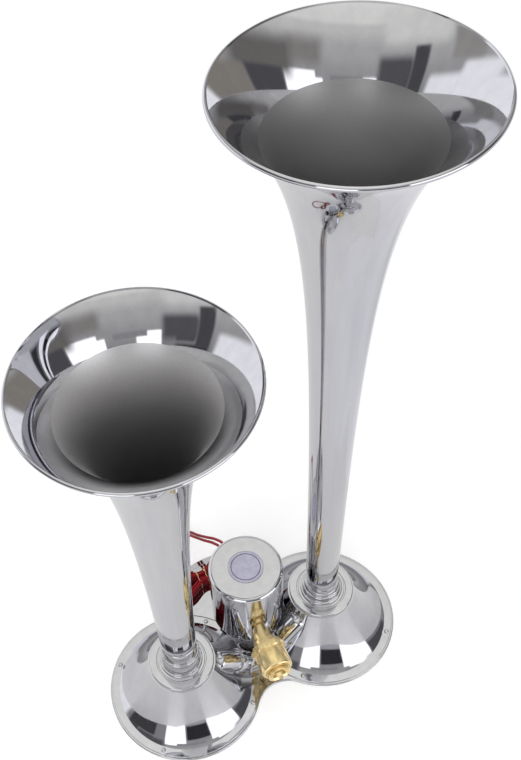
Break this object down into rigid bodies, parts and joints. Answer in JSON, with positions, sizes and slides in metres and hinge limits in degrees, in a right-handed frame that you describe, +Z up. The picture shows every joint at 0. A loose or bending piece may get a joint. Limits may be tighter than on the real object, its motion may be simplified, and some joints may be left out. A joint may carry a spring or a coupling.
{
  "type": "air horn",
  "caption": "Upright chromed air horn: long and short flared trumpets on diaphragm housings, fed by a solenoid valve and a brass push-in hose fitting on a lobed base plate.",
  "frame": {"origin": "underside of the base plate, midway between the axes of the two trumpets", "axes": "+X from the short left trumpet to the long right one, -Y to the front where the air hose plugs in, +Z up along the trumpets"},
  "size_m": [0.292, 0.235, 0.585],
  "materials": {
    "chrome": "bright mirror plate",
    "cast_metal": "machined casting",
    "steel": "turned steel",
    "rubber": "matte black",
    "copper": "enamelled copper wire",
    "badge": "pale lavender enamel, bare",
    "brass": "bright turned brass",
    "red_insulation": "glossy red wire insulation"
  },
  "bodies": {
    "horn_body": {"base_plate": "chrome", "valve_mount_pad": "chrome", "manifold_block": "chrome", "solenoid_cover": "chrome", "left_housing": "chrome", "left_crown_ring": "chrome", "left_trumpet_nut": "chrome", "left_trumpet": "chrome", "left_bell": "chrome", "left_air_duct": "chrome", "left_duct_gland": "chrome", "left_flange_screw_1": "chrome", "left_flange_screw_2": "chrome", "left_flange_screw_3": "chrome", "left_flange_screw_4": "chrome", "right_housing": "chrome", "right_crown_ring": "chrome", "right_trumpet_nut": "chrome", "right_trumpet": "chrome", "right_bell": "chrome", "right_air_duct": "chrome", "right_duct_gland": "chrome", "right_flange_screw_1": "chrome", "right_flange_screw_2": "chrome", "right_flange_screw_3": "chrome", "right_flange_screw_4": "chrome", "left_nozzle": "cast_metal", "right_nozzle": "cast_metal", "left_clamp_ring": "cast_metal", "right_clamp_ring": "cast_metal", "valve_body": "cast_metal", "left_diaphragm": "steel", "right_diaphragm": "steel", "core_tube": "steel", "coil_nut": "steel", "plunger_spring": "steel", "left_gasket": "rubber", "right_gasket": "rubber", "coil_bobbin": "rubber", "lead_grommet": "rubber", "inlet_seal": "rubber", "coil_winding": "copper", "cover_badge": "badge", "inlet_fitting": "brass", "collet": "brass", "mouth_bush": "brass", "red_lead_1": "red_insulation", "red_lead_2": "red_insulation", "red_lead_1_hank": "red_insulation", "red_lead_2_hank": "red_insulation"},
    "plunger_core": {"plunger": "steel", "valve_disc": "rubber"},
    "collar": {"release_collar": "brass"}
  },
  "joints": [
    {"name": "plunger_slide", "type": "slide", "parent": "horn_body", "child": "plunger_core", "axis": [0, 0, 1], "range_m": [0, 0.003], "stiffness_N_per_m": 800, "springref_m": -0.004, "deforming": ["plunger_spring"]},
    {"name": "release_collar_slide", "type": "slide", "parent": "horn_body", "child": "collar", "axis": [0.1132, 0.9936, 0], "range_m": [0, 0.002], "stiffness_N_per_m": 500, "springref_m": -0.002}
  ]
}
